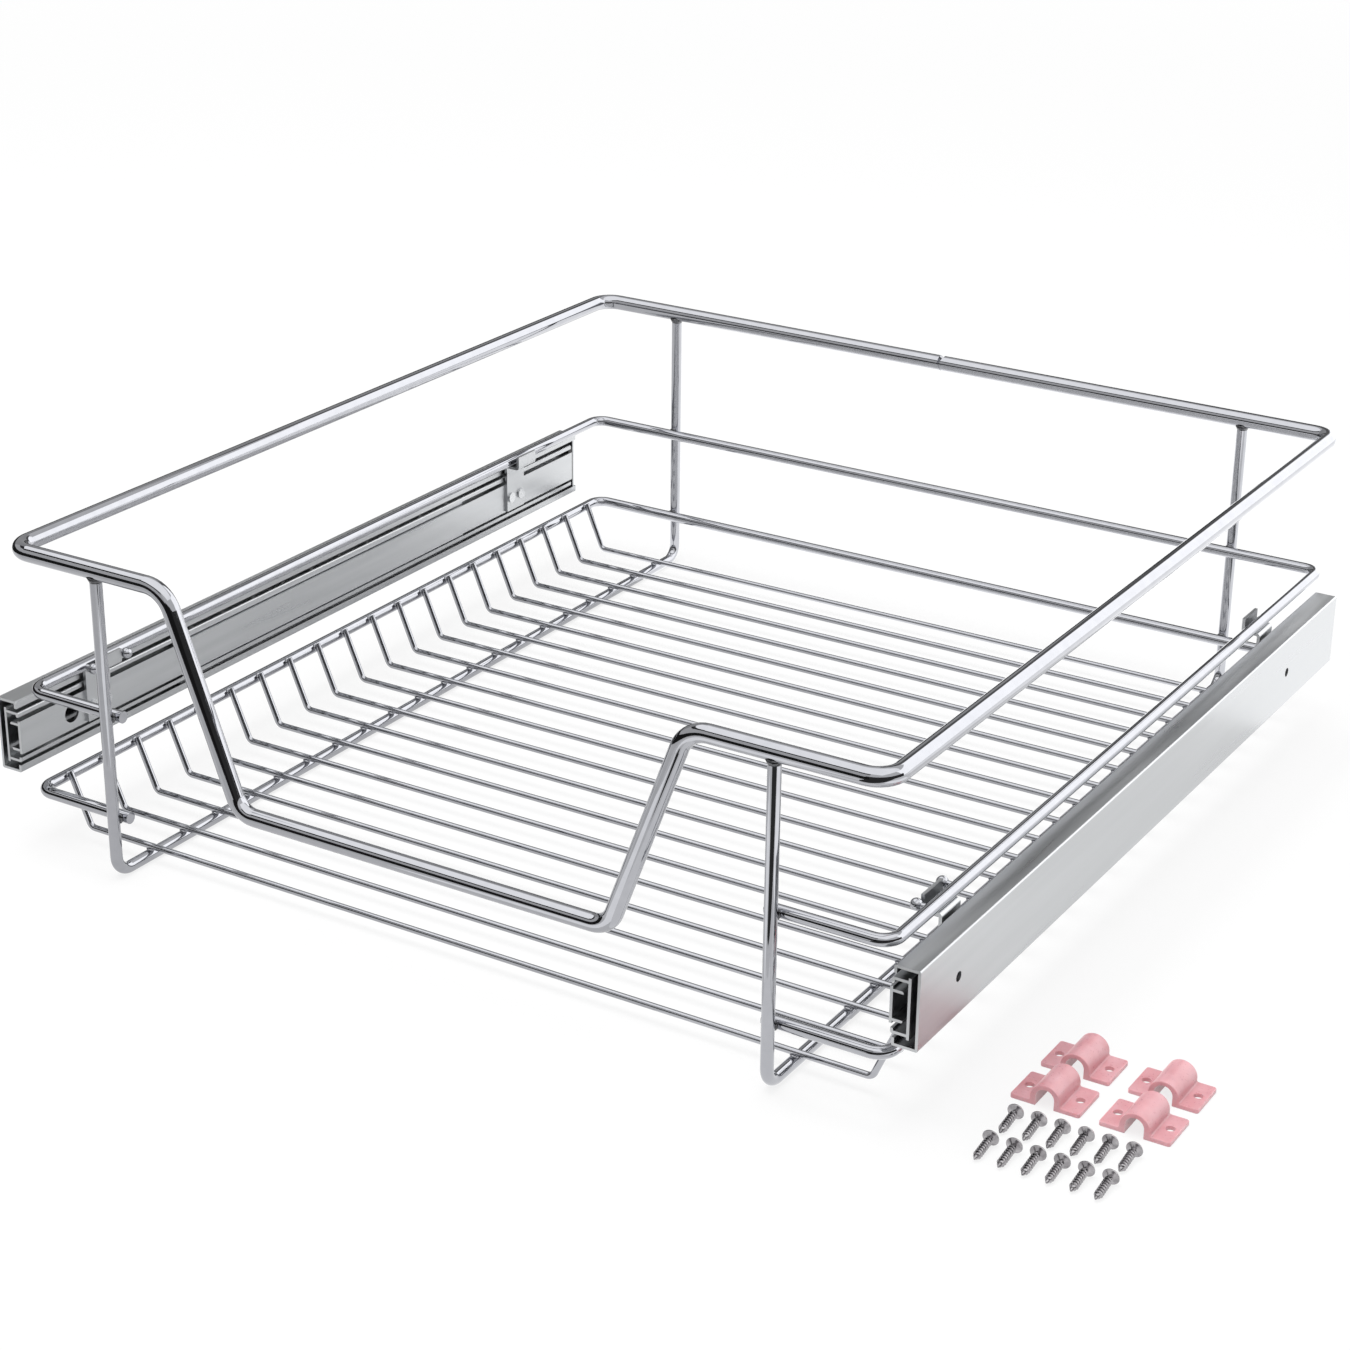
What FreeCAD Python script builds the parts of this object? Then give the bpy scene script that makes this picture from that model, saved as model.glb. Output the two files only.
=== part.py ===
import FreeCAD, Part
import math
import os

# Frame: millimetres, floor at z = 0, origin under the middle of the basket,
# +X to the right, -Y towards the front (the way the drawer pulls out), +Z up.

# Overall basket
BASKET_WIDTH = 440.0            # over the rim and both loops
BASKET_DEPTH = 480.0            # over the rim
BASKET_HEIGHT = 152.0           # floor to the top of the rim

# Wires
RIM_DIA = 8.0
LOOP_DIA = 5.5
FRAME_DIA = 5.5
FLOOR_DIA = 3.0

# Rim
RIM_CORNER_R = 10.0             # plan corner, to the wire's centre line
DIP_UPPER_HALF = 129.5          # half width of the dip at rim level
DIP_LOWER_HALF = 94.0           # half width of the dip at its bottom
DIP_DEPTH = 96.0                # centre line to centre line
DIP_UPPER_R = 14.0
DIP_LOWER_R = 11.0
RIM_BUTT_GAP = 0.8              # between the two butted ends, filled by the weld
RIM_WELD_DIA = 7.4
RIM_WELD_LENGTH = 3.0
RIM_JOINT_LEFT = 1.8            # butt joint, left of the rear run's middle
RIM_NOTCH_WIDTH = 2.6           # V left open on top of the butt joint, across its mouth
RIM_NOTCH_DEPTH = 4.2

# Loops
MID_LOOP_Z = 78.3
LOW_LOOP_Z = 29.2
LOOP_CORNER_R = 7.5
LOOP_END_OVER = 2.25            # a loop's cut end past the front upright's side

# U-frames
FRAME_INSET = 52.0              # basket side to the U-frame's centre line
FRAME_BEND_R = 8.0

# Floor wires
FLOOR_COUNT = 20
FLOOR_MARGIN = 16.75            # loop's front run to the first wire, and the same at the rear
FLOOR_RISE_DEG = 67.0
FLOOR_BEND_R = 3.5
FLOOR_END_OVER = 1.5            # end past the weld on the lower loop

# Ball pegs
PEG_BACK = 44.5                 # loop's front run to the middle of each pair
PEG_PITCH = 22.0
PEG_BALL_DIA = 5.2
PEG_STEM_DIA = 2.5
PEG_REACH = 3.85                # rail surface to the ball's centre

# Ball-bearing slides
SLIDE_LENGTH = 450.0
SLIDE_SETBACK = 4.0             # front end, behind the basket's front
SLIDE_DROP = 22.3               # middle loop down to the slide's middle
SLIDE_HEIGHT = 35.0
SLIDE_THICKNESS = 12.7
SLIDE_SIDE_GAP = 0.5            # basket side to slide
SHEET = 1.2
BALL_DIA = 3.5
BALL_CLEARANCE = 0.3
OUTER_BALL_X = 7.2              # ball centre, in from the slide's outer face
INNER_BALL_X = 8.6
CABINET_LIP_GAP = 1.2           # outer ball's side to the cabinet member's lip
MIDDLE_WEB_GAP = 0.35           # outer ball's side to the intermediate web
MIDDLE_LIP_GAP = 0.45           # inner ball's side to the intermediate member's lip
CABINET_LIP = 3.6               # cabinet member's lip, from its top
MIDDLE_LIP_UP = 1.1             # intermediate member's outer lip, above its flange
MIDDLE_LIP_DOWN = 1.1           # intermediate member's inner lip, below its flange
DRAWER_LIP = 1.1                # drawer member's lip, above its flange
DRAWER_FLANGE = 5.7
CAGE_SHEET = 0.6
CAGE_STRIP = 1.2
CAGE_LENGTH = 230.0
CAGE_START = 110.0              # cage front, behind the slide's front end
OUTER_CAGE_GAP = 0.8            # intermediate web to outer cage web
INNER_CAGE_GAP = 0.5            # drawer flange to inner cage web
POCKET_GAP = 0.15               # ball to its pocket, on the radius
CAGE_EDGE = 0.5                 # strip width past a pocket
BALL_COUNT = 10                 # in each row
BALL_PITCH = 23.0
MEMBER_END_GAP = 0.5            # members' rear ends to the bumper
BUMPER_DEPTH = 4.0
BUMPER_HALF_HEIGHT = 10.0
BUMPER_WIDTH = 9.0
SHEET_BEND_R = 0.8
CABINET_HOLE_DIA = 4.4
CABINET_HOLE_FRONT = 33.0       # front hole, behind the slide's front end
CABINET_HOLE_SPACING = 352.0
ACCESS_HOLE_DIA = 9.0

# Hooks
HOOK_SHEET = 1.5
HOOK_PEG_GAP = 0.4              # each side of the front hook to its peg's ball
HOOK_REAR_AHEAD = 80.5          # rear hook, ahead of the loop's rear run
HOOK_LIP_GAP = 2.0              # rail side to the lip
HOOK_LIP_RISE = 3.2             # lip top above the rail's centre
HOOK_FOOT = 7.5                 # leg foot, below the slide's centre
HOOK_BEND_R = 2.0
HOOK_INNER_R = 0.5
RIVET_DIA = 3.0
RIVET_HEAD_DIA = 5.6
RIVET_HEAD = 1.0
RIVET_TAIL_DIA = 4.6
RIVET_TAIL = 0.8
RIVET_PITCH = 9.0

# Saddle clips
CLIP_LENGTH = 30.0
CLIP_DEPTH = 20.0
CLIP_FLANGE = 1.8
CLIP_SADDLE = 13.0
CLIP_TOP = 1.8                  # plastic above the groove
CLIP_CORNER_R = 1.2
CLIP_EDGE_R = 0.4
CLIP_ROOT_R = 0.8               # where the saddle meets the flanges
CLIP_HOLE_DIA = 4.0
CLIP_HOLE_PITCH = 22.0
CLIP_GROOVE_FIT = 0.0           # groove width over the rim wire's diameter

# Wood screws
SCREW_LENGTH = 16.0
SCREW_HEAD_DIA = 7.1
SCREW_HEAD = 2.2
SCREW_RIM = 0.5                 # straight edge of the head
SCREW_CROWN_DIA = 3.9           # where the head's slope flattens
SCREW_CROWN_DROP = 0.33         # and how far that lies below the top
SCREW_DIA = 3.7
SCREW_CORE_DIA = 2.5
SCREW_PITCH = 1.4
SCREW_TIP = 2.9
SCREW_NECK = 0.6                # plain part under the head
RECESS_WIDTH = 0.9
RECESS_LENGTH = 4.0
RECESS_DEPTH = 1.4

# Loose fittings beside the drawer
LOOSE_SIDE_GAP = 51.8           # slide's outer face to the middle of the group
LOOSE_CLIP_BACK = 86.0          # first clips, behind the slide's front end
LOOSE_CLIP_STEP_X = 38.0
LOOSE_CLIP_STEP_Y = 28.0
LOOSE_SCREW_AHEAD = 50.0        # first screws, ahead of the first clips
LOOSE_SCREW_STEP_X = 10.0
LOOSE_SCREW_STEP_Y = 22.0
SCREWS_PER_ROW = 6
SLIDE_SCREWS = 4

# Nearest distance at which two points count as one
TOUCH = 0.001

# Places that follow from the sizes above
rim_r = RIM_DIA / 2
loop_r = LOOP_DIA / 2
frame_r = FRAME_DIA / 2
floor_r = FLOOR_DIA / 2
rim_x = BASKET_WIDTH / 2 - rim_r
rim_y = BASKET_DEPTH / 2 - rim_r
rim_z = BASKET_HEIGHT - rim_r
frame_x = BASKET_WIDTH / 2 - FRAME_INSET
loop_x = BASKET_WIDTH / 2 - loop_r
loop_y = rim_y - frame_r - loop_r
floor_z = FRAME_DIA + floor_r
floor_pitch = 2 * (loop_y - FLOOR_MARGIN) / (FLOOR_COUNT - 1)
peg_mid_y = PEG_BACK - loop_y
slide_in = BASKET_WIDTH / 2 + SLIDE_SIDE_GAP
slide_out = slide_in + SLIDE_THICKNESS
slide_z = MID_LOOP_Z - SLIDE_DROP
slide_front_y = SLIDE_SETBACK - BASKET_DEPTH / 2
hook_rear_y = loop_y - HOOK_REAR_AHEAD
ball_r = BALL_DIA / 2
ball_space = ball_r + BALL_CLEARANCE
outer_ball_z = SLIDE_HEIGHT / 2 - SHEET - ball_space
middle_flange_top = outer_ball_z - ball_space
middle_flange_low = middle_flange_top - SHEET
inner_ball_z = middle_flange_low - ball_space
drawer_flange_top = inner_ball_z - ball_space
outer_ball_x = slide_out - OUTER_BALL_X
inner_ball_x = slide_out - INNER_BALL_X
cabinet_lip_x = outer_ball_x - ball_r - CABINET_LIP_GAP
middle_web_x = outer_ball_x + ball_r + MIDDLE_WEB_GAP
middle_lip_x = inner_ball_x - ball_r - MIDDLE_LIP_GAP
drawer_flange_end = slide_in + DRAWER_FLANGE
rear_tab_y = slide_front_y + SLIDE_LENGTH - SHEET
bumper_y = rear_tab_y - BUMPER_DEPTH
member_length = bumper_y - MEMBER_END_GAP - slide_front_y
hole_y = [slide_front_y + CABINET_HOLE_FRONT]
hole_y.append(hole_y[0] + CABINET_HOLE_SPACING)
hook_ledge_top = MID_LOOP_Z - loop_r
hook_width = PEG_PITCH - PEG_BALL_DIA - 2 * HOOK_PEG_GAP
loose_x = slide_out + LOOSE_SIDE_GAP
loose_clip_y = slide_front_y + LOOSE_CLIP_BACK
loose_screw_y = loose_clip_y - LOOSE_SCREW_AHEAD


def vec(x, y, z):
    return FreeCAD.Vector(x, y, z)


def bent_path(points, radii):
    """Straight runs through the points, each inner corner turned at its radius."""
    pts = [vec(*p) for p in points]
    edges = []
    start = pts[0]
    for before, corner, after, radius in zip(pts, pts[1:], pts[2:], radii):
        way_in = (corner - before).normalize()
        way_out = (after - corner).normalize()
        half_turn = way_in.getAngle(way_out) / 2
        setback = radius * math.tan(half_turn)
        arc_in = corner - way_in * setback
        arc_out = corner + way_out * setback
        inward = (way_out - way_in).normalize()
        arc_mid = corner + inward * (radius / math.cos(half_turn) - radius)
        edges.append(Part.LineSegment(start, arc_in).toShape())
        edges.append(Part.Arc(arc_in, arc_mid, arc_out).toShape())
        start = arc_out
    edges.append(Part.LineSegment(start, pts[-1]).toShape())
    return Part.Wire(edges)


def rod(points, radii, dia):
    """Round wire bent along the points."""
    path = bent_path(points, radii)
    heading = vec(*points[1]) - vec(*points[0])
    ring = Part.Wire([Part.Circle(vec(*points[0]), heading, dia / 2).toShape()])
    return path.makePipeShell([ring], True, False)


def rod_x(x0, x1, y, z, dia):
    return Part.makeCylinder(dia / 2, x1 - x0, vec(x0, y, z), vec(1, 0, 0))


def rod_y(x, y0, y1, z, dia):
    return Part.makeCylinder(dia / 2, y1 - y0, vec(x, y0, z), vec(0, 1, 0))


def box(x0, x1, y0, y1, z0, z1):
    return Part.makeBox(x1 - x0, y1 - y0, z1 - z0, vec(x0, y0, z0))


def bar_along_y(outline, y0, y1):
    """Straight bar along Y with the given (x, z) outline."""
    ring = Part.makePolygon([vec(x, y0, z) for x, z in outline + outline[:1]])
    return Part.Face(ring).extrude(vec(0, y1 - y0, 0))


def round_long_edges(solid, corners, radius):
    """Round the edges along Y that stand at the given (x, z) corners."""
    picked = []
    for edge in solid.Edges:
        a = edge.Vertexes[0].Point
        b = edge.Vertexes[-1].Point
        if abs(a.x - b.x) > TOUCH or abs(a.z - b.z) > TOUCH:
            continue
        for x, z in corners:
            if abs(a.x - x) < TOUCH and abs(a.z - z) < TOUCH:
                picked.append(edge)
    return solid.makeFillet(radius, picked)


def other_side(solid):
    return solid.mirror(vec(0, 0, 0), vec(1, 0, 0))


def save(shape, node):
    shape.exportStep("parts/" + node + ".step")


# Basket
def rim_wire():
    dip_z = rim_z - DIP_DEPTH
    half_gap = RIM_BUTT_GAP / 2
    points = [
        (half_gap - RIM_JOINT_LEFT, rim_y, rim_z),
        (rim_x, rim_y, rim_z),
        (rim_x, -rim_y, rim_z),
        (DIP_UPPER_HALF, -rim_y, rim_z),
        (DIP_LOWER_HALF, -rim_y, dip_z),
        (-DIP_LOWER_HALF, -rim_y, dip_z),
        (-DIP_UPPER_HALF, -rim_y, rim_z),
        (-rim_x, -rim_y, rim_z),
        (-rim_x, rim_y, rim_z),
        (-half_gap - RIM_JOINT_LEFT, rim_y, rim_z),
    ]
    corners = [RIM_CORNER_R] * 2
    dip = [DIP_UPPER_R, DIP_LOWER_R, DIP_LOWER_R, DIP_UPPER_R]
    ring = rod(points, corners + dip + corners, RIM_DIA)
    weld_x = -RIM_JOINT_LEFT - RIM_WELD_LENGTH / 2
    bead = rod_x(weld_x, weld_x + RIM_WELD_LENGTH, rim_y, rim_z, RIM_WELD_DIA)
    notch_z = rim_z + RIM_DIA / 2 - RIM_NOTCH_DEPTH
    above_z = notch_z + 2 * RIM_NOTCH_DEPTH
    outline = [(weld_x, notch_z), (weld_x + 2 * RIM_NOTCH_WIDTH, above_z), (weld_x, above_z)]
    notch = bar_along_y(outline, rim_y - RIM_DIA, rim_y + RIM_DIA)
    return ring.fuse(bead).cut(notch)


def side_loop(z):
    end_x = frame_x - frame_r - LOOP_END_OVER
    points = [
        (end_x, -loop_y, z),
        (loop_x, -loop_y, z),
        (loop_x, loop_y, z),
        (-loop_x, loop_y, z),
        (-loop_x, -loop_y, z),
        (-end_x, -loop_y, z),
    ]
    return rod(points, [LOOP_CORNER_R] * 4, LOOP_DIA)


def u_frame():
    x = frame_x
    points = [
        (x, -rim_y, rim_z),
        (x, -rim_y, frame_r),
        (x, rim_y, frame_r),
        (x, rim_y, rim_z),
    ]
    frame = rod(points, [FRAME_BEND_R] * 2, FRAME_DIA)
    for y in (-rim_y, rim_y):
        frame = frame.cut(rod_x(x - RIM_DIA, x + RIM_DIA, y, rim_z, RIM_DIA))
        frame = frame.cut(box(x - RIM_DIA, x + RIM_DIA, y - RIM_DIA, y + RIM_DIA, rim_z, rim_z + RIM_DIA))
    return frame


def floor_wire(y):
    rise = math.radians(FLOOR_RISE_DEG)
    apart = loop_r + floor_r
    weld_x = loop_x - apart * math.sin(rise)
    weld_z = LOW_LOOP_Z + apart * math.cos(rise)
    bend_x = weld_x - (weld_z - floor_z) / math.tan(rise)
    end_x = weld_x + FLOOR_END_OVER * math.cos(rise)
    end_z = weld_z + FLOOR_END_OVER * math.sin(rise)
    points = [
        (-end_x, y, end_z),
        (-bend_x, y, floor_z),
        (bend_x, y, floor_z),
        (end_x, y, end_z),
    ]
    return rod(points, [FLOOR_BEND_R] * 2, FLOOR_DIA)


def ball_peg(y):
    ball_x = loop_x - loop_r - PEG_REACH
    stem = rod_x(ball_x, loop_x, y, MID_LOOP_Z, PEG_STEM_DIA)
    ball = Part.makeSphere(PEG_BALL_DIA / 2, vec(ball_x, y, MID_LOOP_Z), vec(1, 0, 0))
    rail = rod_y(loop_x, y - PEG_BALL_DIA, y + PEG_BALL_DIA, MID_LOOP_Z, LOOP_DIA)
    return ball.fuse(stem).cut(rail)


# Slides, right-hand side
def slide_hole(y, dia):
    return rod_x(slide_in - 2 * HOOK_SHEET, slide_out + 2 * SHEET, y, slide_z, dia)


def mirrored_up_down(outline):
    """Close an upper half outline with its image below the slide's middle."""
    upper = [(x, slide_z + z) for x, z in outline]
    lower = [(x, slide_z - z) for x, z in reversed(outline)]
    return upper + lower


def corner_pair(x, z):
    return [(x, slide_z + z), (x, slide_z - z)]


def cabinet_member():
    top = SLIDE_HEIGHT / 2
    under = top - SHEET
    lip_in = cabinet_lip_x - SHEET
    lip_end = top - CABINET_LIP
    outline = mirrored_up_down([
        (slide_out, top),
        (lip_in, top),
        (lip_in, lip_end),
        (cabinet_lip_x, lip_end),
        (cabinet_lip_x, under),
        (slide_out - SHEET, under),
    ])
    rear = slide_front_y + SLIDE_LENGTH
    member = bar_along_y(outline, slide_front_y, rear)
    rounded = corner_pair(slide_out, top) + corner_pair(lip_in, top)
    member = round_long_edges(member, rounded, SHEET_BEND_R)
    tab = box(lip_in + SHEET, slide_out - SHEET / 2, rear_tab_y, rear, slide_z - under, slide_z + under)
    member = member.fuse(tab)
    for y in hole_y:
        member = member.cut(slide_hole(y, CABINET_HOLE_DIA))
    return member


def intermediate_member():
    web_out = middle_web_x + SHEET
    lip_top = middle_flange_top + MIDDLE_LIP_UP
    lip_in = middle_lip_x - SHEET
    lip_end = middle_flange_low - MIDDLE_LIP_DOWN
    outline = mirrored_up_down([
        (web_out, lip_top),
        (middle_web_x, lip_top),
        (middle_web_x, middle_flange_top),
        (lip_in, middle_flange_top),
        (lip_in, lip_end),
        (middle_lip_x, lip_end),
        (middle_lip_x, middle_flange_low),
        (middle_web_x, middle_flange_low),
    ])
    member = bar_along_y(outline, slide_front_y, slide_front_y + member_length)
    member = round_long_edges(member, corner_pair(lip_in, middle_flange_top), SHEET_BEND_R)
    for y in hole_y:
        member = member.cut(slide_hole(y, ACCESS_HOLE_DIA))
    return member


def drawer_member():
    lip_top = drawer_flange_top + DRAWER_LIP
    web_out = slide_in + SHEET
    outline = mirrored_up_down([
        (slide_in, lip_top),
        (web_out, lip_top),
        (web_out, drawer_flange_top),
        (drawer_flange_end, drawer_flange_top),
        (drawer_flange_end, drawer_flange_top - SHEET),
        (web_out, drawer_flange_top - SHEET),
    ])
    member = bar_along_y(outline, slide_front_y, slide_front_y + member_length)
    member = round_long_edges(member, corner_pair(drawer_flange_end, drawer_flange_top), SHEET_BEND_R)
    for y in hole_y:
        member = member.cut(slide_hole(y, ACCESS_HOLE_DIA))
    for y in rivet_places():
        member = member.cut(slide_hole(y, RIVET_DIA))
    return member


def ball_places():
    first = slide_front_y + CAGE_START + (CAGE_LENGTH - (BALL_COUNT - 1) * BALL_PITCH) / 2
    return [first + i * BALL_PITCH for i in range(BALL_COUNT)]


def ball_rows(x, row_z):
    balls = []
    for z in (slide_z + row_z, slide_z - row_z):
        for y in ball_places():
            balls.append(Part.makeSphere(ball_r, vec(x, y, z)))
    return Part.makeCompound(balls)


def ball_cage(web_x, x, row_z):
    """Web between the members, with a pocketed strip at each row of balls."""
    half = CAGE_STRIP / 2
    y0 = slide_front_y + CAGE_START
    y1 = y0 + CAGE_LENGTH
    web_out = web_x + CAGE_SHEET
    strip_in = x - ball_r - POCKET_GAP - CAGE_EDGE
    cage = box(web_x, web_out, y0, y1, slide_z - row_z - half, slide_z + row_z + half)
    for z in (slide_z + row_z, slide_z - row_z):
        cage = cage.fuse(box(strip_in, web_out, y0, y1, z - half, z + half))
        for y in ball_places():
            pocket = Part.makeCylinder(ball_r + POCKET_GAP, BALL_DIA, vec(x, y, z - ball_r))
            cage = cage.cut(pocket)
    return cage.removeSplitter()


def bumper():
    x1 = slide_out - SHEET
    z0 = slide_z - BUMPER_HALF_HEIGHT
    z1 = slide_z + BUMPER_HALF_HEIGHT
    return box(x1 - BUMPER_WIDTH, x1, bumper_y, rear_tab_y, z0, z1)


def hook(y):
    """Bent strip: leg on the drawer member, ledge under the rail, lip inside it."""
    leg_in = slide_in - HOOK_SHEET
    ledge_low = hook_ledge_top - HOOK_SHEET
    lip_out = loop_x - loop_r - HOOK_LIP_GAP
    lip_in = lip_out - HOOK_SHEET
    lip_top = MID_LOOP_Z + HOOK_LIP_RISE
    outline = [
        (slide_in, slide_z - HOOK_FOOT),
        (slide_in, hook_ledge_top),
        (lip_out, hook_ledge_top),
        (lip_out, lip_top),
        (lip_in, lip_top),
        (lip_in, ledge_low),
        (leg_in, ledge_low),
        (leg_in, slide_z - HOOK_FOOT),
    ]
    strip = bar_along_y(outline, y - hook_width / 2, y + hook_width / 2)
    strip = round_long_edges(strip, [(slide_in, hook_ledge_top), (lip_in, ledge_low)], HOOK_BEND_R)
    strip = round_long_edges(strip, [(lip_out, hook_ledge_top), (leg_in, ledge_low)], HOOK_INNER_R)
    for rivet_y in (y - RIVET_PITCH / 2, y + RIVET_PITCH / 2):
        strip = strip.cut(slide_hole(rivet_y, RIVET_DIA))
    return strip


def rivet_places():
    places = []
    for y in (peg_mid_y, hook_rear_y):
        places.append(y - RIVET_PITCH / 2)
        places.append(y + RIVET_PITCH / 2)
    return places


def rivets():
    """Four rivets that hold the two hooks on the drawer member."""
    made = []
    face_in = slide_in - HOOK_SHEET
    face_out = slide_in + SHEET
    for y in rivet_places():
        shank = rod_x(face_in, face_out, y, slide_z, RIVET_DIA)
        head = rod_x(face_in - RIVET_HEAD, face_in, y, slide_z, RIVET_HEAD_DIA)
        tail = rod_x(face_out, face_out + RIVET_TAIL, y, slide_z, RIVET_TAIL_DIA)
        made.append(shank.fuse(head).fuse(tail).removeSplitter())
    return Part.makeCompound(made)


# Loose fittings
def saddle_clip(x, y):
    groove_r = (RIM_DIA + CLIP_GROOVE_FIT) / 2
    outer_r = CLIP_SADDLE / 2
    saddle_top = 2 * groove_r + CLIP_TOP
    y0 = y - CLIP_DEPTH / 2
    y1 = y + CLIP_DEPTH / 2
    plate = box(x - CLIP_LENGTH / 2, x + CLIP_LENGTH / 2, y0, y1, 0, CLIP_FLANGE)
    upright = [e for e in plate.Edges if abs(e.Vertexes[0].Point.z - e.Vertexes[-1].Point.z) > TOUCH]
    plate = plate.makeFillet(CLIP_CORNER_R, upright)
    saddle = box(x - outer_r, x + outer_r, y0, y1, 0, saddle_top - outer_r)
    saddle = saddle.fuse(rod_y(x, y0, y1, saddle_top - outer_r, CLIP_SADDLE))
    below = box(x - CLIP_SADDLE, x + CLIP_SADDLE, y0, y1, -CLIP_SADDLE, 0)
    clip = plate.fuse(saddle.cut(below)).removeSplitter()
    roots = [(x - outer_r, CLIP_FLANGE), (x + outer_r, CLIP_FLANGE)]
    clip = round_long_edges(clip, roots, CLIP_ROOT_R)
    clip = clip.makeFillet(CLIP_EDGE_R, [e for e in clip.Edges if stands_proud(e, x, y0, y1)])
    clip = clip.cut(box(x - groove_r, x + groove_r, y0, y1, -CLIP_FLANGE, groove_r))
    clip = clip.cut(rod_y(x, y0, y1, groove_r, 2 * groove_r))
    for hole_x in (x - CLIP_HOLE_PITCH / 2, x + CLIP_HOLE_PITCH / 2):
        hole = Part.makeCylinder(CLIP_HOLE_DIA / 2, 3 * CLIP_FLANGE, vec(hole_x, y, -CLIP_FLANGE))
        clip = clip.cut(hole)
    return clip.removeSplitter()


def stands_proud(edge, x, y0, y1):
    """Edges round the top of the clip: the flanges' rims and the saddle's two ends."""
    box_of = edge.BoundBox
    at_end = box_of.YLength < CLIP_CORNER_R / 2 and (box_of.YMax > y1 - TOUCH or box_of.YMin < y0 + TOUCH)
    at_side = box_of.XLength < TOUCH and abs(box_of.Center.x - x) > CLIP_LENGTH / 2 - TOUCH
    at_corner = abs(box_of.Center.x - x) > CLIP_LENGTH / 2 - CLIP_CORNER_R and box_of.YLength > TOUCH
    return box_of.ZMin > CLIP_FLANGE - TOUCH and (at_end or at_side or at_corner)


def wood_screw():
    """Screw along +Y, head top at y = 0, thread as ridges at the thread's pitch."""
    core = SCREW_CORE_DIA / 2
    crest = SCREW_DIA / 2
    head_r = SCREW_HEAD_DIA / 2
    thread_end = SCREW_LENGTH - SCREW_TIP
    outline = [(0, 0), (SCREW_CROWN_DIA / 2, SCREW_CROWN_DROP), (head_r, SCREW_HEAD - SCREW_RIM)]
    outline += [(head_r, SCREW_HEAD), (core, SCREW_HEAD)]
    ridge = SCREW_HEAD + SCREW_NECK
    while ridge + SCREW_PITCH <= thread_end:
        outline += [(core, ridge), (crest, ridge + SCREW_PITCH / 2)]
        ridge += SCREW_PITCH
        outline.append((core, ridge))
    outline += [(core, thread_end), (0, SCREW_LENGTH)]
    clean = [outline[0]]
    for point in outline[1:]:
        if math.dist(point, clean[-1]) > TOUCH:
            clean.append(point)
    ring = Part.makePolygon([vec(r, s, 0) for r, s in clean + clean[:1]])
    screw = Part.Face(ring).revolve(vec(0, 0, 0), vec(0, 1, 0), 360)
    half = RECESS_LENGTH / 2
    thin = RECESS_WIDTH / 2
    screw = screw.cut(box(-half, half, -RECESS_DEPTH, RECESS_DEPTH, -thin, thin))
    return screw.cut(box(-thin, thin, -RECESS_DEPTH, RECESS_DEPTH, -half, half))


def lying_screw(x, y):
    """Screw on the floor, head towards +Y, resting on its head and its last ridge."""
    head_r = SCREW_HEAD_DIA / 2
    crest = SCREW_DIA / 2
    turns = int((SCREW_LENGTH - SCREW_TIP - SCREW_HEAD - SCREW_NECK) / SCREW_PITCH + TOUCH)
    last_crest = SCREW_HEAD + SCREW_NECK + (turns - 0.5) * SCREW_PITCH
    tilt = math.atan2(head_r - crest, last_crest - SCREW_HEAD)
    axis_z = SCREW_HEAD * math.sin(tilt) + head_r * math.cos(tilt)
    screw = wood_screw()
    screw.rotate(vec(0, 0, 0), vec(0, 0, 1), 180)
    screw.rotate(vec(0, 0, 0), vec(1, 0, 0), math.degrees(tilt))
    screw.translate(vec(x, y, axis_z))
    return screw


def screw_places():
    """Places in reading order, two rows."""
    places = []
    for row in range(2):
        for i in range(SCREWS_PER_ROW):
            x = loose_x + (i - (SCREWS_PER_ROW - 1) / 2) * LOOSE_SCREW_STEP_X
            places.append((x, loose_screw_y - row * LOOSE_SCREW_STEP_Y))
    return places


os.makedirs("parts", exist_ok=True)

save(rim_wire(), "rim_wire")
save(side_loop(MID_LOOP_Z), "mid_loop")
save(side_loop(LOW_LOOP_Z), "low_loop")

right_frame = u_frame()
save(right_frame, "right_u_frame")
save(other_side(right_frame), "left_u_frame")

for i in range(FLOOR_COUNT):
    wire_y = (i - (FLOOR_COUNT - 1) / 2) * floor_pitch
    save(floor_wire(wire_y), "floor_wire_%02d" % (i + 1))

for place, peg_y in (("front", peg_mid_y - PEG_PITCH / 2), ("rear", peg_mid_y + PEG_PITCH / 2)):
    peg = ball_peg(peg_y)
    save(peg, "right_%s_peg" % place)
    save(other_side(peg), "left_%s_peg" % place)

outer_cage_x = middle_web_x + SHEET + OUTER_CAGE_GAP
inner_cage_x = drawer_flange_end + INNER_CAGE_GAP
slide_parts = {
    "cabinet_member": cabinet_member(),
    "intermediate_member": intermediate_member(),
    "drawer_member": drawer_member(),
    "outer_ball_cage": ball_cage(outer_cage_x, outer_ball_x, outer_ball_z),
    "inner_ball_cage": ball_cage(inner_cage_x, inner_ball_x, inner_ball_z),
    "outer_balls": ball_rows(outer_ball_x, outer_ball_z),
    "inner_balls": ball_rows(inner_ball_x, inner_ball_z),
    "bumper": bumper(),
    "front_hook": hook(peg_mid_y),
    "rear_hook": hook(hook_rear_y),
    "hook_rivets": rivets(),
}
for name, right_part in slide_parts.items():
    save(right_part, "right_" + name)
    save(other_side(right_part), "left_" + name)

clip_number = 0
for row in range(2):
    for column in (-0.5, 0.5):
        clip_number += 1
        clip_x = loose_x + column * LOOSE_CLIP_STEP_X
        clip_y = loose_clip_y - row * LOOSE_CLIP_STEP_Y
        save(saddle_clip(clip_x, clip_y), "saddle_clip_%d" % clip_number)

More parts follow.
